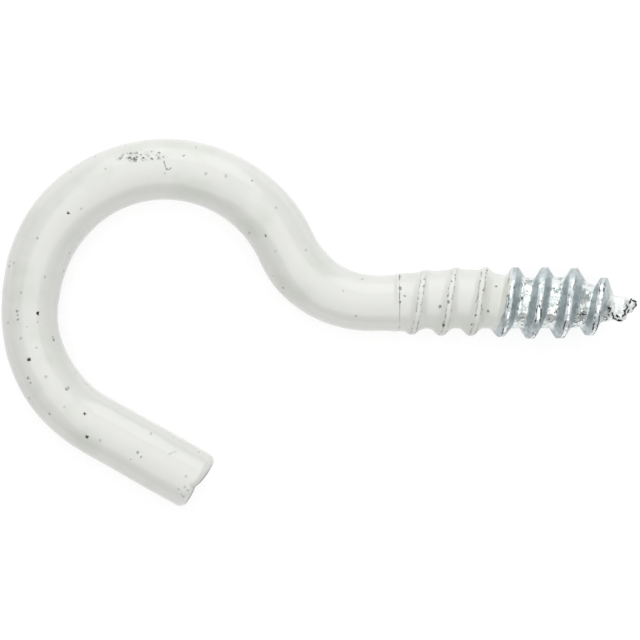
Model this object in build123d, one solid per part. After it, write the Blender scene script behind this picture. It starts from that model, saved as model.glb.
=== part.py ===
from build123d import *
import os
from math import acos, cos, degrees, pi, sin

# Screw hook bent from one length of round wire: an open round hook, an offset neck that brings
# the bow's centre onto the screw axis, and a coarse wood-screw thread cut on the straight leg.
# Millimetres. +X runs along the screw axis to the tip, the hook lies in the XY plane, and the
# origin is on the screw axis where the thread begins.

os.makedirs("parts", exist_ok=True)

# Diameters of the coated wire: thinner in the shank and on the hook's far side
COLLAR_D = 4.93
SHANK_D = 4.74
BOW_D = 5.17
HEEL_D = 4.95
END_D = 5.18

# Centreline of the hook, from the thread back to the end
SHANK_RUN = 2.42
WAIST_FROM, WAIST_TO = 0.35, 0.55
NECK_R = 7.89
BOW_R = 11.36
BOW_TURN = 142.4
SIDE_R, SIDE_TURN = 18.0, 8.0
HEEL_R, HEEL_TURN = 10.82, 66.0
END_RUN = 10.49
# The wire thickens to END_D over the first part of the end run
TAPER_SHARE = 0.2
# The neck turns just far enough to put the bow's centre on the screw axis
NECK_TURN = degrees(acos(NECK_R / (NECK_R + BOW_R)))

# Lobed end of the wire, as distances back from its farthest point and across the wire
END_ROUND = 0.60
SHORT_LOBE_BACK, SHORT_LOBE_ROUND = 0.30, 0.78
CLEFT_BACK, CLEFT_OFF = 0.42, -0.40
CLEFT_LIP_BACK, CLEFT_LIP_OFF = 0.13, 0.30
LONG_LOBE_OFF = 1.6
SHORT_LIP_OFF, SHORT_LOBE_OFF = -0.75, -0.9

# Thread: left hand, its first crest passing behind the axis just past the ring line
PITCH = 2.5245
FIRST_CREST_X = 0.33
TURNS = 6.95
# The last turn's flank toward the tip stands steep
STEEP_FROM, STEEP_FOOT = 6.0, 0.62
# Under the coat the ridge is wider at its foot and narrower at its crest than on the bare turns
BARE_X, BARE_BLEND = 8.8, 2.4
COATED_CREST_W, COATED_FOOT_W = 0.40, 2.24
BARE_CREST_W, BARE_FOOT_W = 0.56, 1.80
ROOT_D = 4.24
RIDGE_SINK = 0.16

# Stations along the screw: x, root diameter and its shift to +Y, crest diameter and its shift.
# The root stays thick on the +Y side for three turns, is round for three, then cones in.
SCREW = (
    (0.0, 4.93, 0.05, 5.20, 0.00),
    (1.0, 4.88, 0.10, 5.48, 0.03),
    (2.2, 4.90, 0.26, 5.50, 0.03),
    (3.5, 4.94, 0.29, 5.68, 0.04),
    (4.7, 5.02, 0.34, 5.80, 0.07),
    (6.0, 5.00, 0.33, 5.84, 0.11),
    (7.3, 4.90, 0.27, 5.86, 0.09),
    (8.5, 4.60, 0.12, 5.92, 0.07),
    (9.9, 4.36, 0.03, 6.00, 0.02),
    (11.2, 4.24, -0.01, 6.09, 0.00),
    (13.6, 4.30, 0.02, 6.02, 0.00),
    (14.7, 4.24, 0.00, 6.02, 0.00),
    (16.2, 3.50, -0.12, 5.28, -0.10),
    (17.2, 2.85, -0.22, 4.66, -0.12),
    (17.9, 2.26, -0.33, 4.10, -0.14),
)

# Blunt stub past the cone, lower than the axis, then stepped down to a small nose: x, y, diameter
NIB = (
    (17.6, -0.34, 2.24),
    (18.2, -0.48, 2.24),
    (19.0, -0.50, 2.24),
    (19.4, -0.36, 1.66),
    (19.75, -0.18, 1.22),
    (20.07, -0.12, 0.84),
    (20.19, -0.12, 0.60),
)

# Slices that each turn of the ridge is drawn through
SECTIONS_PER_TURN = 8


def along(stations, x):
    """The values at x between the two nearest stations, the first number of each being its x."""
    for low, high in zip(stations, stations[1:]):
        if x <= high[0]:
            break
    share = max(0.0, min(1.0, (x - low[0]) / (high[0] - low[0])))
    return [a + (b - a) * share for a, b in zip(low[1:], high[1:])]


def hook_centreline():
    """Shank, neck, bow, flatter side, heel and the straight end run, each tangent to the last."""
    shank = Line((0, 0), (-SHANK_RUN, 0))
    neck = JernArc(shank @ 1, shank % 1, NECK_R, -NECK_TURN)
    bow = JernArc(neck @ 1, neck % 1, BOW_R, BOW_TURN)
    side = JernArc(bow @ 1, bow % 1, SIDE_R, SIDE_TURN)
    heel = JernArc(side @ 1, side % 1, HEEL_R, HEEL_TURN)
    end = Line(heel @ 1, heel @ 1 + (heel % 1) * END_RUN)
    return shank, neck, bow, side, heel, end


def round_at(curve, where, diameter):
    """A disc across the wire at a share of one run of its centreline."""
    plane = Plane(origin=curve @ where, x_dir=(0, 0, 1), z_dir=curve % where)
    return plane * Circle(diameter / 2)


def bent_wire(runs, last_share):
    """The wire from the thread round to near its end: tapers on the straight shank, on the
    hook's flatter side and at the start of the end run join bends of even thickness."""
    shank, neck, bow, side, heel, end = runs
    waist = [(0.0, COLLAR_D), (WAIST_FROM, SHANK_D), (WAIST_TO, SHANK_D), (1.0, BOW_D)]
    tapering_side = [round_at(side, 0.0, BOW_D), round_at(side, 1.0, HEEL_D)]
    return (
        loft([round_at(shank, *spot) for spot in waist], ruled=True)
        + sweep(round_at(neck, 0.0, BOW_D), path=neck)
        + sweep(round_at(bow, 0.0, BOW_D), path=bow)
        + sweep(tapering_side, path=side, multisection=True)
        + sweep(round_at(heel, 0.0, HEEL_D), path=heel)
        + loft([round_at(end, 0.0, HEEL_D), round_at(end, last_share, END_D)])
    )


def wire_end(end, from_share):
    """The cropped end: a long lobe and a shorter one with rounded rims and a cleft between them."""
    start, far, ahead = end @ from_share, end @ 1, end % 1
    across = Vector(0, 0, 1).cross(ahead)
    stub = (1 - from_share) * END_RUN
    clear = END_D

    def disc(distance, inset):
        plane = Plane(origin=start + ahead * distance, x_dir=(0, 0, 1), z_dir=ahead)
        return plane * Circle(END_D / 2 - inset)

    def lobe(length, rim):
        rounding = [disc(length - rim * (1 - sin(t)), rim * (1 - cos(t)))
                    for t in (0, pi / 6, pi / 3, pi / 2)]
        return loft([disc(0, 0)] + rounding, ruled=True)

    def prism(points):
        outline = Polyline(*[far - ahead * back + across * off for back, off in points], close=True)
        return extrude(make_face(outline), amount=clear, both=True, dir=(0, 0, 1))

    inner = (stub + clear, CLEFT_OFF)
    cleft = (CLEFT_BACK, CLEFT_OFF)
    long_side = prism([inner, cleft, (CLEFT_LIP_BACK, CLEFT_LIP_OFF), (-clear, LONG_LOBE_OFF),
                       (-clear, clear), (stub + clear, clear)])
    short_side = prism([inner, cleft, (SHORT_LOBE_BACK, SHORT_LIP_OFF), (-clear, SHORT_LOBE_OFF),
                        (-clear, -clear), (stub + clear, -clear)])
    long_lobe = lobe(stub, END_ROUND) & long_side
    short_lobe = lobe(stub - SHORT_LOBE_BACK, SHORT_LOBE_ROUND) & short_side
    return long_lobe + short_lobe


def core_disc(x, shift, diameter):
    return Plane(origin=(x, shift, 0), x_dir=(0, 1, 0), z_dir=(1, 0, 0)) * Circle(diameter / 2)


def thread_core():
    """The thread's root, still thick on the +Y side near the shank, then round, then a cone."""
    return loft([core_disc(x, shift, root) for x, root, shift, _, _ in SCREW], ruled=True)


def nib():
    """The blunt stub left past the cone, its foot sunk in the cone's end."""
    return loft([core_disc(x, y, diameter) for x, y, diameter in NIB], ruled=True)


def ridge_section(turn):
    """One slice of the ridge, in the plane through the axis at that point of the left-hand helix."""
    angle = pi * 3 / 2 - 2 * pi * turn
    x = FIRST_CREST_X + PITCH * turn
    root, _, crest, shift = along(SCREW, x)
    bare = max(0.0, min(1.0, (x - BARE_X) / BARE_BLEND + 0.5))
    crest_w = COATED_CREST_W + (BARE_CREST_W - COATED_CREST_W) * bare
    foot_w = COATED_FOOT_W + (BARE_FOOT_W - COATED_FOOT_W) * bare
    crest_r = crest / 2
    foot_r = min(ROOT_D, root) / 2 - RIDGE_SINK
    out = Vector(0, cos(angle), sin(angle))
    centre = Vector(x, shift, 0)

    def spot(off, radius):
        return centre + Vector(off, 0, 0) + out * radius

    steep = 1 - (1 - STEEP_FOOT) * max(0.0, turn - STEEP_FROM)
    left = [spot(-foot_w / 2, foot_r), spot(-crest_w / 2, crest_r)]
    right = [spot(crest_w / 2, crest_r), spot(foot_w / 2 * steep, foot_r)]
    return make_face(Polyline(*left, *right, close=True))


def thread_ridge():
    """The ridge turn by turn, each turn a loft that shares its end faces with its neighbours."""
    whole = int(TURNS)
    starts = [TURNS * k / whole for k in range(whole + 1)]
    return [
        loft([ridge_section(a + (b - a) * i / SECTIONS_PER_TURN)
              for i in range(SECTIONS_PER_TURN + 1)])
        for a, b in zip(starts, starts[1:])
    ]


def screw_hook():
    runs = hook_centreline()
    body = bent_wire(runs, TAPER_SHARE) + wire_end(runs[-1], TAPER_SHARE)
    return body + (thread_core() + thread_ridge()) + nib()


hook = screw_hook()
print("solids", len(hook.solids()), "volume", hook.volume, "valid", hook.is_valid)
export_step(hook.solids()[0], "parts/screw_hook.step")
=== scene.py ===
from math import acos, cos, degrees, pi, radians, sin, tan
import bmesh
import bpy
import numpy as np
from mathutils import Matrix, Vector, noise


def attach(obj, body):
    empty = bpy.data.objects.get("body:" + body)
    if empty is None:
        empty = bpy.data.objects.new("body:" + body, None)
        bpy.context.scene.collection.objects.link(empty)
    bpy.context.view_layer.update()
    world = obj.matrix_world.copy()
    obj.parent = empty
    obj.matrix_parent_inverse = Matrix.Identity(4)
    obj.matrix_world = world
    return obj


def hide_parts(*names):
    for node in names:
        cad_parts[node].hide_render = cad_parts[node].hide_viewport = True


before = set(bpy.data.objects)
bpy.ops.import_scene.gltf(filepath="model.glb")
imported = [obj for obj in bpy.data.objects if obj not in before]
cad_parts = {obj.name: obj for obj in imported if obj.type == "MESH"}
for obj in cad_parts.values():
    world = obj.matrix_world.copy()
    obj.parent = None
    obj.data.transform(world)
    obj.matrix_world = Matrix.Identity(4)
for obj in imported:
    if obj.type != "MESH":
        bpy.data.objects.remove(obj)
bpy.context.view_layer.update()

# Shapes are worked out in millimetres, and turned into metres when a mesh is made
MM = 0.001

# Centreline of the wire from the thread back to the end: radius and turn in degrees, or length
SHANK_RUN = 2.42
NECK_R = 7.89
BOW_R, BOW_TURN = 11.36, 142.4
SIDE_R, SIDE_TURN = 18.0, 8.0
HEEL_R, HEEL_TURN = 10.82, 66.0
END_RUN = 10.49
NECK_TURN = degrees(acos(NECK_R / (NECK_R + BOW_R)))
# Each run with the coated wire's thickness at even steps along it; a right bend has a minus
RUNS = (
    ("line", SHANK_RUN, 0, (4.93, 4.74, 4.76)),
    ("bend", NECK_R, -NECK_TURN, (4.80, 4.92, 5.10, 5.25, 5.16)),
    ("bend", BOW_R, BOW_TURN, (5.15, 5.19, 5.19, 5.18, 5.26, 5.08)),
    ("bend", SIDE_R, SIDE_TURN, (5.00, 4.86)),
    ("bend", HEEL_R, HEEL_TURN, (4.82, 4.79, 4.91, 5.02, 5.06, 5.10)),
    ("line", END_RUN, 0, (5.12, 5.18, 5.18)),
)

# Screw stations: x, root diameter, its shift to +Y, crest diameter, its shift
SCREW = np.array((
    (0.0, 4.93, 0.05, 5.20, 0.00),
    (1.0, 4.88, 0.10, 5.48, 0.03),
    (2.2, 4.90, 0.26, 5.50, 0.03),
    (3.5, 4.94, 0.29, 5.68, 0.04),
    (4.7, 5.02, 0.34, 5.80, 0.07),
    (6.0, 5.00, 0.33, 5.84, 0.11),
    (7.3, 4.90, 0.27, 5.86, 0.09),
    (8.5, 4.60, 0.12, 5.92, 0.07),
    (9.9, 4.36, 0.03, 6.00, 0.02),
    (11.2, 4.24, -0.01, 6.07, 0.00),
    (13.6, 4.30, 0.02, 6.02, 0.00),
    (14.7, 4.24, 0.00, 6.00, 0.00),
    (16.2, 3.50, -0.12, 5.28, -0.10),
    (17.2, 2.85, -0.22, 4.66, -0.12),
    (17.9, 2.26, -0.36, 4.10, -0.14),
    (18.2, 2.10, -0.42, 3.60, -0.20),
    (19.0, 2.04, -0.42, 3.00, -0.20),
    (19.3, 1.50, -0.30, 2.00, -0.20),
    (19.6, 0.90, -0.16, 1.20, -0.20),
    (20.0, 0.70, -0.12, 0.80, -0.20),
    (20.14, 0.20, -0.12, 0.10, -0.20),
))
ROOT_WIDE, ROOT_SHIFT, CREST_WIDE, CREST_SHIFT = 1, 2, 3, 4
SCREW_FROM, TIP_X = -0.30, 20.14
# the rings' middle moves off the axis between these two, as the tip does
TIP_LOW_FROM, TIP_LOW_TO = 16.5, 18.2

# Ridge: left hand, with its slopes as pairs for the coated and the bare turns
PITCH = 2.5245
FIRST_CREST_X = 0.33
LAST_TURN, FADE_PER_TURN = 6.85, 3.0
STEEP_FROM, STEEP_SHARE = 6.0, 0.38
CREST_W, FOOT_W = (0.40, 0.56), (2.24, 1.80)
CREST_ROUND, ROOT_FILL = (0.10, 0.05), (0.30, 0.10)
BARE_X, BARE_BLEND = 8.8, 1.2
ROOT_D, RIDGE_SINK = 4.24, 0.16
RIDGE_LOW, RIDGE_HIGH = -0.02, 0.22

# Coat's edge: it follows the ridge over this part of a turn, and crosses back over the rest
COAT_TURNS = 3.0
FRONT_FROM, FRONT_TO = 0.22, 0.78
COAT_SHORT, COAT_SAG = 0.10, 0.50
SAG_FROM, SAG_TO = 0.62, 0.30

# Ring where the thread begins: a crack in the coat, fainter toward -Y
RING_X, RING_SWAY, RING_GRAIN = -0.09, 0.06, 0.9
RING_W, RING_DEEP = 0.04, 0.03
RING_FAINT, RING_FAINT_Y, RING_FULL_Y = 0.5, -1.4, 0.4

# Balls of metal left where the tip was nipped off: centre and radius
TIP_BALLS = (
    (18.70, -1.04, 0.30, 0.60),
    (19.66, -0.10, 0.10, 0.50),
)
BALL_BLEND = 0.03

# Unevenness of the surface, as noises: grains to a millimetre and height
COAT_WAVES = ((0.35, 0.022), (1.1, 0.007))
ZINC_LUMPS = ((2.4, 0.030), (6.0, 0.022))
TIP_LUMPS = ((1.6, 0.030), (4.5, 0.024))
LUMPS_ON_RIDGE, LUMPS_ON_TIP = 0.5, 0.4
RAGGED_FROM, RAGGED_TO = 17.4, 18.6
COAT_THINS = 0.12

# Mesh steps
AROUND = 128
WIRE_STEP, SCREW_STEP = 0.33, 0.05
FACE_RINGS, FACE_FILL = 13, 0.96
RIM_RINGS, RIM_FROM = 11, 0.05
STUB, STUB_SHARES = 1.3, (0.12, 0.3, 0.5, 0.7, 0.88)
TIP_FINE, TIP_STEPS = 0.2, (0.16, 0.12, 0.08, 0.05, 0.025, 0.0)

# End of the wire: place across it from the heel's side, and how far back its face stands
FACE = np.array((
    (-2.7, -0.42), (-1.9, -0.33), (-1.3, -0.30), (-0.80, -0.31), (-0.52, -0.36), (-0.40, -0.44),
    (-0.24, -0.34), (0.20, -0.17), (0.80, -0.06), (1.42, 0.0), (2.7, -0.02),
))
END_ROUND = 0.66
# painted shade round the rim of the face: from this share of its flat to this share of its rounding
RIM_SHADE_IN, RIM_SHADE_OUT = (0.90, 1.0), (0.40, 0.66)
CREASE_OFF, CREASE_LEAN, CREASE_W, CREASE_DEEP = -0.46, 0.05, 0.16, 0.05
CREASE_FROM, CREASE_FULL, CREASE_TO = 0.35, 0.6, 1.5

# Camera straight over the hook, far enough for a nearly flat view
LENS, SENSOR, FRAME_W = 200.0, 36.0, 54.4
VIEW_X, VIEW_Y, VIEW_Z = -6.8, -1.4535, FRAME_W * LENS / SENSOR

ANGLES = np.arange(AROUND) / AROUND * 2 * pi
COS, SIN = np.cos(ANGLES), np.sin(ANGLES)


def smoothstep(low, high, value):
    t = np.clip((value - low) / (high - low), 0.0, 1.0)
    return t * t * (3 - 2 * t)


def smooth_max(a, b, k):
    h = np.clip(0.5 + 0.5 * (a - b) / k, 0.0, 1.0)
    return b + (a - b) * h + k * h * (1 - h)


def grain(points, per_mm, seed):
    """Smooth noise about zero at each row of points."""
    off = Vector((seed * 17.3, seed * 5.1, seed * 9.7))
    return np.array([noise.noise(Vector(p) * per_mm + off) for p in points])


def unevenness(points, noises, seed):
    return sum(grain(points, per_mm, seed + i) * high for i, (per_mm, high) in enumerate(noises))


def walk():
    """Stations of the centreline from the thread to the end: x, y, heading, thickness, distance."""
    x, y, h, gone, out = 0.0, 0.0, pi, 0.0, []
    for kind, size, turn, widths in RUNS:
        length = size if kind == "line" else size * radians(abs(turn))
        side = 0 if kind == "line" else (1 if turn > 0 else -1)
        centre = (x - side * size * sin(h), y + side * size * cos(h))
        count = round(length / WIRE_STEP)
        for i in range(count + 1):
            s = length * i / count
            if kind == "line":
                spot, heading = (x + cos(h) * s, y + sin(h) * s), h
            else:
                heading = h + side * s / size
                spot = (centre[0] + side * size * sin(heading),
                        centre[1] - side * size * cos(heading))
            if i < count:
                wide = np.interp(s / length, np.linspace(0, 1, len(widths)), widths)
                out.append((*spot, heading, wide, gone + s))
        x, y, h, gone = *spot, heading, gone + length
    out.append((x, y, h, RUNS[-1][3][-1], gone))
    return np.array(out)


def ring(x, y, heading, reach, off, up):
    """Points across the wire: reach along its heading, off to the heading's right, up in Z."""
    return np.stack([x + cos(heading) * reach + sin(heading) * off,
                     y + sin(heading) * reach - cos(heading) * off, up + 0 * off], 1)


def end_rings(track):
    """Rings from the cropped face's middle out to the wire, and how much of the painted rim shade
    each of the face's rings gets.
    """
    x, y, h, wide, _ = track[-1]
    radius = wide / 2
    flat = 1 - END_ROUND / radius
    shares = list(np.linspace(0.0, FACE_FILL * flat, FACE_RINGS))
    shares += [flat + (1 - flat) * sin(t) for t in np.linspace(RIM_FROM, pi / 2, RIM_RINGS)]
    rings, rim_shade_share = [], []
    for share in shares:
        rim = max(0.0, (share - flat) / (1 - flat))
        # the face's rim band gets a dark grey ring: painted shade where the face turns away
        rim_shade_share.append(smoothstep(*RIM_SHADE_IN, share / flat) * (1 - smoothstep(*RIM_SHADE_OUT, rim)))
        off = share * radius * COS
        reach = np.interp(-off, FACE[:, 0], FACE[:, 1]) - END_ROUND * (1 - (1 - rim ** 2) ** 0.5)
        rings.append(ring(x, y, h, reach, off, share * radius * SIN))
    off = radius * COS
    front = np.interp(-off, FACE[:, 0], FACE[:, 1]) - END_ROUND
    for share in STUB_SHARES:
        rings.append(ring(x, y, h, front * (1 - share) - STUB * share, off, radius * SIN))
    return rings, rim_shade_share


def wire_rings(track):
    last = track[-1, 4]
    return [ring(x, y, h, 0.0, wide / 2 * COS, wide / 2 * SIN)
            for x, y, h, wide, gone in track[::-1] if -SCREW_FROM < gone < last - STUB]


def disc_reach(off_y, off_z, radius):
    """Distance from the row's centre to a disc's far side, in every direction round the row."""
    ahead = off_y * COS + off_z * SIN
    beside = off_y * SIN - off_z * COS
    inside = radius ** 2 - beside ** 2
    return np.where(inside > 0, ahead + np.sqrt(np.maximum(inside, 0)), -1.0)


def screw_at(x, column):
    return np.interp(x, SCREW[:, 0], SCREW[:, column])


def coat_edge(x, part):
    """How far each point of a row is past the coat's edge: part is its place round the turn."""
    front = FRONT_TO - FRONT_FROM
    crossing = FRONT_TO - front * (((part - FRONT_TO) % 1.0) / (1 - front))
    turn = COAT_TURNS + np.where((part > FRONT_FROM) & (part < FRONT_TO), part, crossing)
    short = COAT_SHORT + COAT_SAG * smoothstep(SAG_FROM, SAG_TO, part) * (part > FRONT_FROM)
    return x - (FIRST_CREST_X + PITCH * turn) + short


def screw_row(x):
    """One ring of the screw, and what the finish needs to know at each of its points."""
    root_shift = screw_at(x, ROOT_SHIFT)
    centre = root_shift * smoothstep(TIP_LOW_FROM, TIP_LOW_TO, x)
    core = disc_reach(root_shift - centre, 0.0, screw_at(x, ROOT_WIDE) / 2)
    part = ((1.5 * pi - ANGLES) / (2 * pi)) % 1.0
    turn = np.round((x - FIRST_CREST_X) / PITCH - part) + part
    crest_x = FIRST_CREST_X + PITCH * turn
    off = x - crest_x
    crest = screw_at(crest_x, CREST_WIDE) / 2
    crest_shift = screw_at(crest_x, CREST_SHIFT) - centre
    foot = np.minimum(ROOT_D, screw_at(crest_x, ROOT_WIDE)) / 2 - RIDGE_SINK
    crest = crest - FADE_PER_TURN * (np.maximum(0, -turn) + np.maximum(0, turn - LAST_TURN))
    bare = smoothstep(BARE_X - BARE_BLEND, BARE_X + BARE_BLEND, crest_x)

    def mix(pair):
        return pair[0] + (pair[1] - pair[0]) * bare

    steep = np.where(off > 0, 1 - STEEP_SHARE * np.clip(turn - STEEP_FROM, 0, 1), 1.0)
    slope = (crest - foot) / ((mix(FOOT_W) * steep - mix(CREST_W)) / 2)
    flank = crest - (np.abs(off) - mix(CREST_W) / 2) * slope
    ridge = -smooth_max(-flank, -crest, mix(CREST_ROUND)) + crest_shift * COS
    radius = smooth_max(core, ridge, mix(ROOT_FILL))
    for ball_x, ball_y, ball_z, ball_r in TIP_BALLS:
        if abs(x - ball_x) < ball_r:
            slice_r = (ball_r ** 2 - (x - ball_x) ** 2) ** 0.5
            ball = disc_reach(ball_y - centre, ball_z, slice_r)
            radius = smooth_max(radius, ball, BALL_BLEND)
    marks = (coat_edge(x, part), off / (mix(CREST_W) / 2),
             smoothstep(core + RIDGE_LOW, core + RIDGE_HIGH, ridge))
    return ring(x, centre, pi, 0.0, radius * COS, radius * SIN), marks


def screw_rings():
    xs = np.concatenate([np.arange(SCREW_FROM, TIP_X - TIP_FINE, SCREW_STEP),
                         TIP_X - np.array(TIP_STEPS)])
    rows = [screw_row(x) for x in xs]
    return [r for r, _ in rows], [np.concatenate([m[i] for _, m in rows]) for i in range(3)]


def outward(grid):
    """Unit normals of a grid of rings, pointing out of the wire."""
    lengthways = np.gradient(grid, axis=0)
    around = np.roll(grid, -1, axis=1) - np.roll(grid, 1, axis=1)
    normal = np.cross(around, lengthways)
    normal /= np.maximum(np.linalg.norm(normal, axis=2, keepdims=True), 1e-9)
    middle = len(grid) // 2
    out = np.sum(normal[middle] * (grid[middle] - grid[middle].mean(0)))
    return normal * np.sign(out)


def end_crease(points, track):
    """How deep the fold behind the cleft is at each point."""
    x, y, h, _, _ = track[-1]
    back = -((points[:, 0] - x) * cos(h) + (points[:, 1] - y) * sin(h))
    off = -(points[:, 0] - x) * sin(h) + (points[:, 1] - y) * cos(h)
    shape = np.exp(-((off - CREASE_OFF - CREASE_LEAN * back) / CREASE_W) ** 2)
    rise = smoothstep(CREASE_FROM, CREASE_FULL, back)
    return CREASE_DEEP * shape * rise * (1 - smoothstep(CREASE_FULL, CREASE_TO, back))


def ring_crack(points, on_screw):
    """How far each point is in the crack round the start of the thread."""
    middle = RING_X + RING_SWAY * grain(points * (0, 1, 1), RING_GRAIN, 7)
    crack = np.exp(-((points[:, 0] - middle) / RING_W) ** 2) * on_screw
    full = smoothstep(RING_FAINT_Y, RING_FULL_Y, points[:, 1])
    return crack * (RING_FAINT + (1 - RING_FAINT) * full)


def relief(points, marks, track):
    """How far the surface stands out at each point beyond its smooth shape."""
    bare = smoothstep(-COAT_THINS, COAT_THINS, marks["coat_edge"])
    tipward = smoothstep(RAGGED_FROM, RAGGED_TO, points[:, 0])
    lumpy = bare * (1 - (1 - LUMPS_ON_RIDGE) * marks["ridge"]) * (1 - (1 - LUMPS_ON_TIP) * tipward)
    out = unevenness(points, COAT_WAVES, 1) * (1 - bare)
    out += unevenness(points, ZINC_LUMPS, 3) * lumpy
    out += unevenness(points, TIP_LUMPS, 5) * tipward
    return out - RING_DEEP * marks["ring_crack"] - end_crease(points, track)


def skin_mesh(points, count, marks):
    """A closed mesh through the rings, with the marks as its attributes."""
    quads = [(i * AROUND + j, i * AROUND + (j + 1) % AROUND,
              (i + 1) * AROUND + (j + 1) % AROUND, (i + 1) * AROUND + j)
             for i in range(1, count - 1) for j in range(AROUND)]
    # the first ring is a single point, and the last is closed by one more
    verts = [tuple(p) for p in points * MM] + [tuple(points[-AROUND:].mean(0) * MM)]
    lead, tail, last = 0, len(points), (count - 1) * AROUND
    fans = [(lead, AROUND + (j + 1) % AROUND, AROUND + j) for j in range(AROUND)]
    fans += [(tail, last + j, last + (j + 1) % AROUND) for j in range(AROUND)]
    mesh = bpy.data.meshes.new("hook_body")
    mesh.from_pydata(verts, [], quads + fans)
    for name, values in marks.items():
        layer = mesh.attributes.new(name, "FLOAT", "POINT")
        layer.data.foreach_set("value", np.append(values, values[-1]).astype(np.float32))
    body = bmesh.new()
    body.from_mesh(mesh)
    bmesh.ops.delete(body, geom=[v for v in body.verts if not v.link_faces], context="VERTS")
    bmesh.ops.recalc_face_normals(body, faces=body.faces)
    for face in body.faces:
        face.smooth = True
    body.to_mesh(mesh)
    body.free()
    return mesh


def build_hook(track):
    face_rings, rim_shade_shares = end_rings(track)
    hook_rings = face_rings + wire_rings(track)
    thread_rings, (edge, crest_off, ridge) = screw_rings()
    grid = np.array(hook_rings + thread_rings)
    normals = outward(grid).reshape(-1, 3)
    points = grid.reshape(-1, 3)
    first = len(hook_rings) * AROUND

    def spread(values, elsewhere):
        return np.concatenate([np.full(first, elsewhere), values])

    # painted shade on the end face's rim, kept as an attribute for the finish
    painted_rim_shade = np.zeros(len(points))
    painted_rim_shade[:len(rim_shade_shares) * AROUND] = np.repeat(rim_shade_shares, AROUND)
    marks = {
        "coat_edge": spread(edge, -9.0),
        "crest_off": spread(crest_off, 9.0),
        "ring_crack": ring_crack(points, np.arange(len(points)) >= first),
        "ridge": spread(ridge, 0.0),
        "painted_rim_shade": painted_rim_shade,
    }
    points = points + normals * relief(points, marks, track)[:, None]
    hook = bpy.data.objects.new("hook_body", skin_mesh(points, len(grid), marks))
    bpy.context.scene.collection.objects.link(hook)
    return hook


# Node helpers


def new_material(name):
    material = bpy.data.materials.new(name)
    material.use_nodes = True
    material.node_tree.nodes.clear()
    return material, material.node_tree


def add(tree, kind, **values):
    node = tree.nodes.new(kind)
    for key, value in values.items():
        setattr(node, key, value)
    return node


def put(tree, socket, value):
    if isinstance(value, bpy.types.NodeSocket):
        tree.links.new(value, socket)
    else:
        socket.default_value = value


def maths(tree, operation, *values):
    node = add(tree, "ShaderNodeMath", operation=operation)
    for socket, value in zip(node.inputs, values):
        put(tree, socket, value)
    return node.outputs[0]


def times(tree, product, *others):
    for other in others:
        product = maths(tree, "MULTIPLY", product, other)
    return product


def less(tree, value, share):
    """One minus that share of the value."""
    return maths(tree, "SUBTRACT", 1.0, times(tree, value, share))


def apart(tree, value, middle):
    """How far the value is from the middle, to either side."""
    return maths(tree, "ABSOLUTE", maths(tree, "SUBTRACT", value, middle))


def steps(tree, value, low, high, start=0.0, end=1.0):
    """A smooth step from start to end as the value goes from low to high."""
    node = add(tree, "ShaderNodeMapRange", interpolation_type="SMOOTHSTEP")
    for name, number in zip(("Value", "From Min", "From Max", "To Min", "To Max"),
                            (value, low, high, start, end)):
        put(tree, node.inputs[name], number)
    return node.outputs["Result"]


def along(tree, place, axis, low, high):
    """A smooth step along X, Y or Z, as axis is 0, 1 or 2."""
    split = add(tree, "ShaderNodeSeparateXYZ")
    put(tree, split.inputs[0], place)
    return steps(tree, split.outputs[axis], low * MM, high * MM)


def tint(tree, share, under, over):
    node = add(tree, "ShaderNodeMix", data_type="RGBA")
    for socket, value in zip((node.inputs[0], node.inputs[6], node.inputs[7]),
                             (share, under, over)):
        put(tree, socket, value)
    return node.outputs[2]


def mottle(tree, place, per_metre, detail=3.0, rough=0.55):
    node = add(tree, "ShaderNodeTexNoise")
    for name, value in (("Vector", place), ("Scale", per_metre), ("Detail", detail),
                        ("Roughness", rough)):
        put(tree, node.inputs[name], value)
    return node.outputs["Fac"]


def sway(tree, place, per_metre, detail, reach):
    """Noise about zero, as wide as the reach."""
    return times(tree, maths(tree, "SUBTRACT", mottle(tree, place, per_metre, detail), 0.5), reach)


def mark(tree, name):
    return add(tree, "ShaderNodeAttribute", attribute_name=name).outputs["Fac"]


def blend(tree, share, under, over):
    """A mix of two shaders."""
    node = add(tree, "ShaderNodeMixShader")
    for socket, value in zip(node.inputs, (share, under, over)):
        put(tree, socket, value)
    return node.outputs[0]


def send(tree, kind, shader):
    out = add(tree, kind)
    put(tree, out.inputs["Surface"], shader)


def flecks(tree, place, per_metre, share, size):
    """Dots, one in some cells of a cell pattern: share of the cells, radius as a part of a cell."""
    node = add(tree, "ShaderNodeTexVoronoi")
    put(tree, node.inputs["Vector"], place)
    put(tree, node.inputs["Scale"], per_metre)
    split = add(tree, "ShaderNodeSeparateColor")
    put(tree, split.inputs[0], node.outputs["Color"])
    chosen = steps(tree, split.outputs[0], 1 - share - 0.01, 1 - share + 0.01)
    dot = steps(tree, node.outputs["Distance"], 0.7 * size, 1.3 * size, 1.0, 0.0)
    return times(tree, chosen, dot)


def ragged_place(tree, place, per_metre, reach):
    """The place pushed about by noise, so that what is drawn from it has an uneven edge."""
    cloud = add(tree, "ShaderNodeTexNoise")
    put(tree, cloud.inputs["Vector"], place)
    put(tree, cloud.inputs["Scale"], per_metre)
    centred = add(tree, "ShaderNodeVectorMath", operation="SUBTRACT")
    put(tree, centred.inputs[0], cloud.outputs["Color"])
    put(tree, centred.inputs[1], (0.5, 0.5, 0.5))
    scaled = add(tree, "ShaderNodeVectorMath", operation="SCALE")
    put(tree, scaled.inputs[0], centred.outputs[0])
    put(tree, scaled.inputs["Scale"], reach)
    moved = add(tree, "ShaderNodeVectorMath", operation="ADD")
    put(tree, moved.inputs[0], place)
    put(tree, moved.inputs[1], scaled.outputs[0])
    return moved.outputs[0]


# Marks on the hook, given as seen in a view straight down at the height of the wire's middle


def drawn_in(x, y, height):
    """Where a mark seen at x and y lies when its surface is that much nearer the eye."""
    share = 1 - height / VIEW_Z
    return VIEW_X + (x - VIEW_X) * share, VIEW_Y + (y - VIEW_Y) * share


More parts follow.
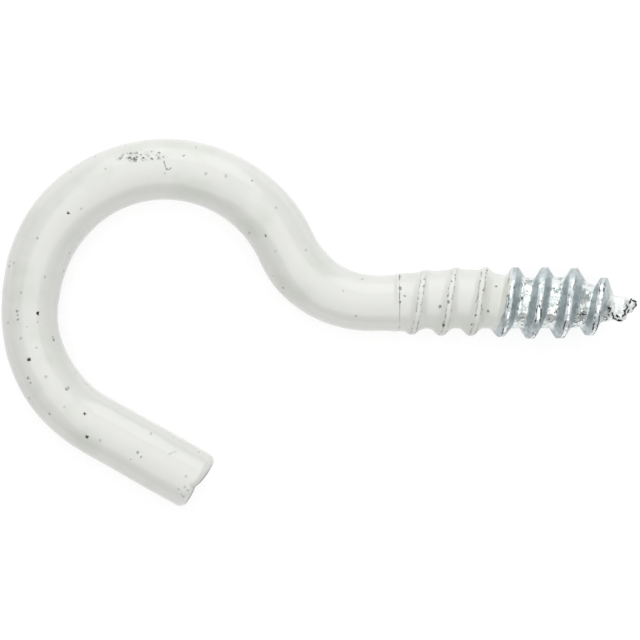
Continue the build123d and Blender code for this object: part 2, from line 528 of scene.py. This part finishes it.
def on_top(track, x, y):
    """The point of the wire's upper surface where a mark at x and y is seen."""
    height = 0.0
    for _ in range(2):
        at = drawn_in(x, y, height)
        away = np.hypot(track[:, 0] - at[0], track[:, 1] - at[1])
        nearest = int(np.argmin(away))
        height = max(0.0, (track[nearest, 3] / 2) ** 2 - away[nearest] ** 2) ** 0.5
    return *at, height


def stroke(points, step):
    """Places a step apart along a line through the points."""
    out = []
    for (ax, ay), (bx, by) in zip(points, points[1:]):
        count = max(1, round(np.hypot(bx - ax, by - ay) / step))
        out += [(ax + (bx - ax) * i / count, ay + (by - ay) * i / count) for i in range(count)]
    return out + [points[-1]]


def dots(tree, place, centres, radii, inner, outer):
    """Round marks that fade out between two shares of their radius."""
    whole = None
    for centre, radius in zip(centres, radii):
        gap = add(tree, "ShaderNodeVectorMath", operation="DISTANCE")
        put(tree, gap.inputs[0], place)
        gap.inputs[1].default_value = tuple(v * MM for v in centre)
        own = radius * MM
        dot = steps(tree, gap.outputs["Value"], inner * own, outer * own, 1.0, 0.0)
        whole = dot if whole is None else maths(tree, "MAXIMUM", whole, dot)
    return whole


def specks(tree, place, track, spots, radius):
    """Marks of about one radius at the given places on the wire's upper surface."""
    centres = [on_top(track, *spot) for spot in spots]
    radii = [radius * (0.80 + 0.45 * ((i * 7) % 5) / 4) for i in range(len(spots))]
    return dots(tree, place, centres, radii, 0.55, 1.3)


def screw_specks(tree, place, spots, radius, height):
    """Marks on the upper half of the screw, whose surface is about that high there."""
    flat = add(tree, "ShaderNodeVectorMath", operation="MULTIPLY")
    put(tree, flat.inputs[0], place)
    flat.inputs[1].default_value = (1, 1, 0)
    centres = [(*drawn_in(x, y, height), 0.0) for x, y in spots]
    radii = [radius * (0.75 + 0.5 * ((i * 3) % 4) / 3) for i in range(len(spots))]
    whole = dots(tree, flat.outputs[0], centres, radii, 0.5, 1.2)
    return times(tree, whole, along(tree, place, 2, 0.0, 0.2))


# Pinholes, chips and dull specks in the coat: x and y
PINHOLES = (
    (-28.2, 7.6), (-30.8, -0.9), (-31.5, -4.8), (-26.8, -9.4), (-26.6, -11.4), (-11.4, 5.7),
)
CHIPS = (
    (-29.5, -2.9), (-29.45, -3.15), (-28.35, -7.35), (-28.2, -7.2), (-9.9, 1.3), (-12.6, 10.4),
    (-29.8, -9.4), (-31.6, -6.4), (-31.4, -6.8), (-32.55, -0.7), (-32.5, -1.05), (-32.45, -1.4),
    (-22.3, -12.7), (-22.0, -13.1), (-33.2, 3.1), (-25.9, 12.4), (-18.4, 12.5),
)
DULL = (
    (-10.5, 8.1), (-8.0, 4.5), (-16.5, 11.0), (-20.5, 12.5), (-25.0, 11.4), (-28.0, 11.1),
    (-28.1, 4.2), (-28.6, 2.7), (-32.8, 3.4), (-33.3, -1.7), (-31.7, -2.0), (-32.2, -3.0),
    (-31.5, -8.1), (-26.7, -6.9), (-21.2, -11.1), (-22.9, -13.3), (-17.1, -12.7), (-3.2, 2.0),
    (-4.8, 1.0), (-3.7, -1.1), (-20.0, 11.0),
    (-27.1, 8.0), (-30.8, 5.5), (-30.2, 2.2), (-32.2, 0.9), (-30.8, -1.6), (-17.3, 13.2),
    (-14.8, 10.8), (-10.6, 4.4), (-12.8, 5.9), (-10.8, 2.3), (-30.9, -3.8), (-30.1, -6.3),
    (-28.5, -8.8), (-25.5, -11.7), (-19.25, -11.47), (-18.18, -14.72), (-18.30, -15.62),
    (-18.84, -15.83), (-18.06, -15.92), (-18.56, -16.28), (-18.42, -16.48),
)
# Specks on the coated turns, with three on the ring line
SCREW_SPECKS = (
    (0.4, 0.6), (4.1, 0.1), (7.5, -0.7), (8.2, 1.4), (2.0, 1.4), (3.4, -0.3), (3.7, -1.9),
    (6.1, -1.8), (0.0, 2.25), (0.02, 1.25), (0.0, 0.1),
)
# Painted shade in the folds round the balls on the tip, each a line through its points
TIP_FOLD_SHADE = (
    ((17.62, -0.35), (17.85, -0.49), (17.78, -0.72)),
    ((18.03, -0.88), (18.16, -1.26), (18.45, -1.49), (18.84, -1.51)),
    ((18.42, -1.10), (18.62, -1.20)),
    ((18.91, -1.18), (19.12, -0.98), (19.07, -0.65), (19.32, -0.42), (19.21, -0.12)),
    ((19.37, -0.80), (19.52, -0.60)),
    ((19.52, -0.04), (19.67, 0.31), (20.05, 0.11), (20.09, -0.27), (19.82, -0.47)),
)
# Hair scratches: a tick on the bow and a fainter one near the end
SCRATCH = ((-20.05, 12.05), (-19.96, 11.62), (-19.82, 11.29), (-19.50, 11.44))
FAINT_LINE = ((-19.67, -12.88), (-19.10, -12.64))
# Worn patch on the outside of the bow: half its length, width and height, and its lean in degrees
WORN_AT, WORN_SIZE, WORN_LEAN = (-21.9, 12.5), (2.7, 0.62, 0.9), 4.0

# Radii of the marks, and how high the screw's surface is where its marks are
SPECK_R, PINHOLE_R, HAIR_R, HAIR_STEP = 0.12, 0.15, 0.08, 0.10
FOLD_SHADE_R, FOLD_SHADE_STEP = 0.085, 0.11
COATED_HIGH, TIP_HIGH = 2.3, 0.7

# Paints and metals
WHITE, WARM_WHITE = (0.775, 0.785, 0.755, 1), (0.715, 0.728, 0.680, 1)
DULL_GREY, GRIME = (0.42, 0.44, 0.41, 1), (0.24, 0.26, 0.25, 1)
# the chip grey also paints the shade round the end face's rim
CHIP_AND_RIM_SHADE_GREY, CRACK_GREY = (0.10, 0.11, 0.10, 1), (0.05, 0.05, 0.045, 1)
CRUMB_BLACK, HOLE_BLACK = (0.03, 0.03, 0.03, 1), (0.012, 0.012, 0.010, 1)
ZINC_PALE, ZINC_GREY = (0.84, 0.88, 0.87, 1), (0.44, 0.50, 0.50, 1)
# the thread's flanks: the zinc painted darker and bluer, painted shade
FLANK_SHADE_PALE, FLANK_SHADE_GREY = (0.52, 0.58, 0.60, 1), (0.42, 0.47, 0.49, 1)
# pale silver for the painted highlight on the crests and for the bright tip; black for the pits and
# for painted shade
HIGHLIGHT_AND_NIB_SILVER, PIT_AND_SHADE_BLACK = (0.94, 0.96, 0.95, 1), (0.015, 0.018, 0.018, 1)

# Across a crest, with its half width as one: its edge, the middle of the painted highlight, and how
# far from that the black lines of painted shade run
CREST_EDGE, HIGHLIGHT_AT, SHADE_LINES_OFF = 1.05, 0.15, 0.62
# The painted highlight fades out between these Y, and the bright tip begins between these X
HIGHLIGHT_FADE_Y, NIB_X = (0.9, 2.2), (17.5, 18.1)


def worn_patch(tree, place, track):
    """Black crumbs where the coat is rubbed through, and the dull scuff under them."""
    spot = add(tree, "ShaderNodeMapping", vector_type="TEXTURE")
    put(tree, spot.inputs["Vector"], place)
    spot.inputs["Location"].default_value = tuple(v * MM for v in on_top(track, *WORN_AT))
    spot.inputs["Rotation"].default_value = (0, 0, radians(WORN_LEAN))
    spot.inputs["Scale"].default_value = tuple(v * MM for v in WORN_SIZE)
    reach = add(tree, "ShaderNodeVectorMath", operation="LENGTH")
    put(tree, reach.inputs[0], spot.outputs[0])
    inside = steps(tree, reach.outputs["Value"], 0.45, 1.05, 1.0, 0.0)
    crumbs = flecks(tree, ragged_place(tree, place, 5000, 0.00034), 3300, 0.85, 0.50)
    streaks = steps(tree, mottle(tree, place, 1500, 4, 0.7), 0.45, 0.50)
    scuffed = times(tree, inside, steps(tree, mottle(tree, place, 2200, 4), 0.4, 0.7))
    return times(tree, crumbs, streaks, inside), scuffed


def crest_lines(tree, place):
    """Fine broken lines along both edges of each coated crest, and a wider zone for nicks."""
    ridge = mark(tree, "ridge")
    off = maths(tree, "ADD", mark(tree, "crest_off"), sway(tree, place, 1100, 4, 1.5))
    edge = apart(tree, maths(tree, "ABSOLUTE", off), CREST_EDGE)
    broken = steps(tree, mottle(tree, place, 1500, 5, 0.8), 0.46, 0.60, 0.10, 1.0)
    line = times(tree, steps(tree, edge, 0.10, 0.50, 1.0, 0.0), broken, ridge)
    return line, times(tree, steps(tree, edge, 0.4, 1.0, 1.0, 0.0), ridge)


def coat_colour(tree, place, track, line, near_line):
    colour = tint(tree, steps(tree, mottle(tree, place, 230), 0.45, 0.70), WHITE, WARM_WHITE)
    uneven = ragged_place(tree, place, 5000, 0.00030)

    def on_wire(spots, radius):
        return specks(tree, uneven, track, spots, radius)

    dark, scuffed = worn_patch(tree, place, track)
    # a dark grey ring on the end face's rim: painted shade, mottled in strength
    rim_shade_mask = times(tree, mark(tree, "painted_rim_shade"),
                        steps(tree, mottle(tree, place, 1400, 3), 0.30, 0.55, 0.55, 1.0))
    crack = times(tree, mark(tree, "ring_crack"),
                  steps(tree, mottle(tree, place, 1500, 4, 0.7), 0.42, 0.56, 0.15, 1.0))
    nicks = times(tree, flecks(tree, uneven, 3000, 0.16, 0.26), near_line)
    # each layer: where it is, how strong, and its paint
    for shape, strength, paint in (
        (flecks(tree, place, 700, 0.10, 0.07), 0.5, DULL_GREY),
        (on_wire(DULL, SPECK_R), 0.7, DULL_GREY),
        (on_wire(CHIPS, SPECK_R), 0.62, CHIP_AND_RIM_SHADE_GREY),
        (on_wire(PINHOLES, PINHOLE_R), 1.0, HOLE_BLACK),
        (on_wire(stroke(SCRATCH, HAIR_STEP), HAIR_R), 0.8, GRIME),
        (screw_specks(tree, uneven, SCREW_SPECKS, SPECK_R, COATED_HIGH), 0.8, CHIP_AND_RIM_SHADE_GREY),
        (on_wire(stroke(FAINT_LINE, HAIR_STEP), HAIR_R), 0.5, DULL_GREY),
        (rim_shade_mask, 0.9, CHIP_AND_RIM_SHADE_GREY),
        (scuffed, 0.5, DULL_GREY),
        (dark, 1.0, CRUMB_BLACK),
        (line, 0.85, GRIME),
        (nicks, 1.0, HOLE_BLACK),
        (crack, 1.0, CRACK_GREY),
    ):
        colour = tint(tree, times(tree, shape, strength), colour, paint)
    return colour


def white_coat(tree, place, track):
    line, near_line = crest_lines(tree, place)
    coat = add(tree, "ShaderNodeBsdfPrincipled")
    put(tree, coat.inputs["Base Color"], coat_colour(tree, place, track, line, near_line))
    shine = steps(tree, mottle(tree, place, 1800), 0.3, 0.7, 0.14, 0.26)
    duller_thread = times(tree, along(tree, place, 0, -0.5, 1.5), 0.25)
    put(tree, coat.inputs["Roughness"], maths(tree, "ADD", shine, duller_thread))
    coat.inputs["Coat Weight"].default_value = 0.6
    coat.inputs["Coat Roughness"].default_value = 0.14
    skin = add(tree, "ShaderNodeBump")
    skin.inputs["Strength"].default_value = 0.2
    skin.inputs["Distance"].default_value = 0.00004
    put(tree, skin.inputs["Height"],
        maths(tree, "SUBTRACT", mottle(tree, place, 450, 2), times(tree, line, 0.5)))
    put(tree, coat.inputs["Normal"], skin.outputs["Normal"])
    return coat.outputs[0]


def painted_crest_light(tree, place, ridge):
    """A painted highlight on each bare crest, and black lines of painted shade beside it, fading
    toward +Y.
    """
    off = maths(tree, "ADD", mark(tree, "crest_off"), sway(tree, place, 900, 4, 1.6))
    across = apart(tree, off, HIGHLIGHT_AT)
    shown = less(tree, along(tree, place, 1, *HIGHLIGHT_FADE_Y), 0.9)
    crest_highlight = times(tree, steps(tree, across, 0.30, 0.55, 1.0, 0.0), ridge,
                   steps(tree, mottle(tree, place, 700, 3), 0.42, 0.52), shown)
    # black lines beside the highlight: painted shade
    beside = steps(tree, apart(tree, across, SHADE_LINES_OFF), 0.08, 0.28, 1.0, 0.0)
    beside = times(tree, beside, ridge,
                   steps(tree, mottle(tree, place, 800, 4, 0.7), 0.49, 0.56), shown)
    return crest_highlight, beside


def torn_pits(tree, place):
    """Clusters of pits and hair cracks."""
    torn = ragged_place(tree, place, 4200, 0.00036)
    clusters = steps(tree, mottle(tree, place, 620, 3), 0.43, 0.55)
    pits = times(tree, flecks(tree, torn, 2700, 0.40, 0.32), clusters)
    vein = steps(tree, apart(tree, mottle(tree, torn, 800, 3, 0.5), 0.5), 0.005, 0.014, 1.0, 0.0)
    return maths(tree, "MAXIMUM", pits, times(tree, vein, clusters))


def bare_zinc(tree, place):
    ridge = mark(tree, "ridge")
    crest_highlight, beside = painted_crest_light(tree, place, ridge)
    sides = times(tree, ridge, less(tree, crest_highlight, 1.0))
    nib = along(tree, place, 0, *NIB_X)
    # one between the crests and on the painted highlight, near nothing on their smooth sides and
    # the tip
    torn = times(tree, less(tree, sides, 0.92), less(tree, nib, 0.85))
    pits = times(tree, torn_pits(tree, place), torn)
    patches = steps(tree, mottle(tree, place, 1500, 6, 0.7), 0.47, 0.62)
    # places of the painted shade in the folds round the tip's balls
    fold_shade = [spot for line in TIP_FOLD_SHADE for spot in stroke(line, FOLD_SHADE_STEP)]
    uneven = ragged_place(tree, place, 4000, 0.00030)
    colour = tint(tree, times(tree, patches, less(tree, nib, 0.7)), ZINC_PALE, ZINC_GREY)
    # the smooth flanks painted darker than the rest of the zinc: painted shade
    flank_shade = tint(tree, patches, FLANK_SHADE_PALE, FLANK_SHADE_GREY)
    # the crests' painted highlight, and the bright tip
    bright = maths(tree, "MAXIMUM", crest_highlight, times(tree, nib, 0.7))
    for shape, paint in (
        (times(tree, sides, 0.9), flank_shade),
        (bright, HIGHLIGHT_AND_NIB_SILVER),
        (times(tree, pits, 0.95), PIT_AND_SHADE_BLACK),
        # black lines of painted shade beside the crests
        (beside, PIT_AND_SHADE_BLACK),
        # black painted shade in the folds round the tip's balls
        (screw_specks(tree, uneven, fold_shade, FOLD_SHADE_R, TIP_HIGH), PIT_AND_SHADE_BLACK),
    ):
        colour = tint(tree, shape, colour, paint)

    metal = add(tree, "ShaderNodeBsdfPrincipled")
    put(tree, metal.inputs["Base Color"], colour)
    metal.inputs["Metallic"].default_value = 0.9
    rough = steps(tree, mottle(tree, place, 3000), 0.35, 0.65, 0.20, 0.40)
    matt = maths(tree, "ADD", times(tree, sides, 0.15), times(tree, nib, 0.28))
    put(tree, metal.inputs["Roughness"], maths(tree, "ADD", rough, matt))
    dents = add(tree, "ShaderNodeBump")
    dents.inputs["Strength"].default_value = 0.55
    dents.inputs["Distance"].default_value = 0.00010
    crinkle = times(tree, mottle(tree, place, 1500, 3, 0.5), torn)
    put(tree, dents.inputs["Height"], maths(tree, "SUBTRACT", crinkle, times(tree, pits, 0.4)))
    put(tree, metal.inputs["Normal"], dents.outputs["Normal"])
    return metal.outputs[0]


def hook_finish(track):
    material, tree = new_material("white_coat_over_zinc")
    place = add(tree, "ShaderNodeTexCoord").outputs["Object"]
    edge = maths(tree, "ADD", mark(tree, "coat_edge"), sway(tree, place, 1600, 5, 0.7))
    bare = steps(tree, edge, -0.05, 0.05)
    both = blend(tree, bare, white_coat(tree, place, track), bare_zinc(tree, place))
    send(tree, "ShaderNodeOutputMaterial", both)
    return material


track = walk()
hook = build_hook(track)
hook.data.materials.append(hook_finish(track))
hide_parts("screw_hook")
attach(hook, "root")

# Floor: a white table that shows white to the camera, with the hook's shadow on it
FLOOR_Z, FLOOR_HALF = -3.06, 3000.0
FLOOR_GLOW, FLOOR_SHADE = 0.77, (0.30, 0.30, 0.30, 1)
PAPER, PALE_PAPER = (0.86, 0.86, 0.86, 1), (0.90, 0.90, 0.90, 1)


def floor_finish():
    material, tree = new_material("white_table")
    place = add(tree, "ShaderNodeTexCoord").outputs["Object"]
    plain = add(tree, "ShaderNodeBsdfDiffuse")
    put(tree, plain.inputs["Color"], tint(tree, mottle(tree, place, 60), PAPER, PALE_PAPER))
    shade = add(tree, "ShaderNodeBsdfDiffuse")
    shade.inputs["Color"].default_value = FLOOR_SHADE
    glow = add(tree, "ShaderNodeEmission")
    glow.inputs["Strength"].default_value = FLOOR_GLOW
    seen = add(tree, "ShaderNodeAddShader")
    put(tree, seen.inputs[0], shade.outputs[0])
    put(tree, seen.inputs[1], glow.outputs[0])
    path = add(tree, "ShaderNodeLightPath")
    mirrored = maths(tree, "MAXIMUM", path.outputs["Is Glossy Ray"],
                     path.outputs["Is Transmission Ray"])
    rays = maths(tree, "MAXIMUM", path.outputs["Is Camera Ray"], mirrored)
    send(tree, "ShaderNodeOutputMaterial", blend(tree, rays, plain.outputs[0], seen.outputs[0]))
    return material


def build_floor():
    corner = FLOOR_HALF * MM
    mesh = bpy.data.meshes.new("floor")
    mesh.from_pydata([(a * corner, b * corner, FLOOR_Z * MM)
                      for a, b in ((-1, -1), (1, -1), (1, 1), (-1, 1))], [], [(0, 1, 2, 3)])
    mesh.materials.append(floor_finish())
    floor = bpy.data.objects.new("floor", mesh)
    bpy.context.scene.collection.objects.link(floor)
    return floor


floor = build_floor()

# Soft studio: a dim room with a white backdrop, and two soft boxes overhead, in metres
ROOM, ROOM_TONE = 0.335, (1.0, 1.0, 0.99, 1)
BACKDROP, BACKDROP_TONE = 1.0, (1.0, 1.0, 1.0, 1)
LAMP_FAR = 0.40


def glow_all_round(tree, tone, strength):
    node = add(tree, "ShaderNodeBackground")
    node.inputs["Color"].default_value = tone
    node.inputs["Strength"].default_value = strength
    return node.outputs[0]


def studio_room():
    world = bpy.data.worlds.new("studio")
    bpy.context.scene.world = world
    world.use_nodes = True
    tree = world.node_tree
    tree.nodes.clear()
    seen = add(tree, "ShaderNodeLightPath").outputs["Is Camera Ray"]
    both = blend(tree, seen, glow_all_round(tree, ROOM_TONE, ROOM),
                 glow_all_round(tree, BACKDROP_TONE, BACKDROP))
    send(tree, "ShaderNodeOutputWorld", both)


def soft_box(name, lean, long_angle, wide_angle, radiance):
    """A box lamp leant from overhead toward +Y, sized by the angles it spans, lit by radiance."""
    light = bpy.data.lights.new(name, "AREA")
    light.shape = "RECTANGLE"
    light.size = 2 * LAMP_FAR * tan(radians(wide_angle / 2))
    light.size_y = 2 * LAMP_FAR * tan(radians(long_angle / 2))
    light.energy = radiance * pi * light.size * light.size_y
    lamp = bpy.data.objects.new(name, light)
    lamp.location = (0, LAMP_FAR * sin(radians(lean)), LAMP_FAR * cos(radians(lean)))
    lamp.rotation_euler = (-radians(lean), 0, 0)
    bpy.context.scene.collection.objects.link(lamp)


studio_room()
soft_box("key", lean=62, long_angle=52, wide_angle=56, radiance=1.58)
soft_box("fill", lean=-12, long_angle=88, wide_angle=64, radiance=1.10)


def build_camera():
    lens = bpy.data.cameras.new("camera")
    lens.lens = LENS
    lens.sensor_width = SENSOR
    lens.clip_start = 0.01
    camera = bpy.data.objects.new("camera", lens)
    camera.location = (VIEW_X * MM, VIEW_Y * MM, VIEW_Z * MM)
    bpy.context.scene.collection.objects.link(camera)
    return camera


bpy.context.scene.camera = build_camera()
bpy.context.scene.view_settings.view_transform = "Standard"
